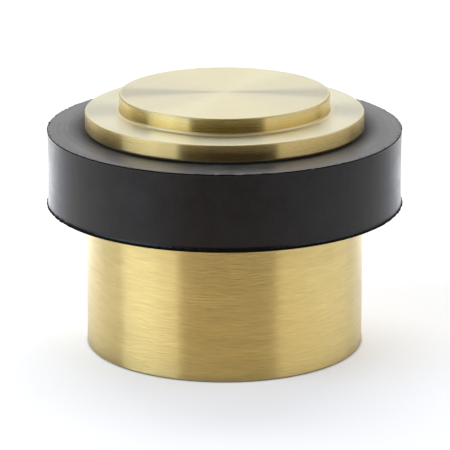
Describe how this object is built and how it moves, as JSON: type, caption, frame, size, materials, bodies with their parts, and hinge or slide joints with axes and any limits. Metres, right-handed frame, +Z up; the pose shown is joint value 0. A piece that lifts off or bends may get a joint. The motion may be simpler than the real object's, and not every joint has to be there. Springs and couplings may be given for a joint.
{
  "type": "floor door stop",
  "caption": "Low round floor door stop: a turned brass body and stepped brass cap with a wider black rubber bumper ring clamped between them, fixed from below by a tapped hole.",
  "frame": {"origin": "centre of the underside, where the stop stands on the floor", "axes": "+Z up along the axis that all the turned pieces share; X and Y are free, because the stop is round"},
  "size_m": [0.0516, 0.0516, 0.037],
  "materials": {
    "brass": "turned and fine brushed around the axis, satin",
    "rubber": "satin black",
    "steel": "plain bright"
  },
  "bodies": {
    "root": {"body": "brass", "bumper_ring": "rubber", "cap": "brass", "set_screw": "steel"}
  },
  "joints": []
}
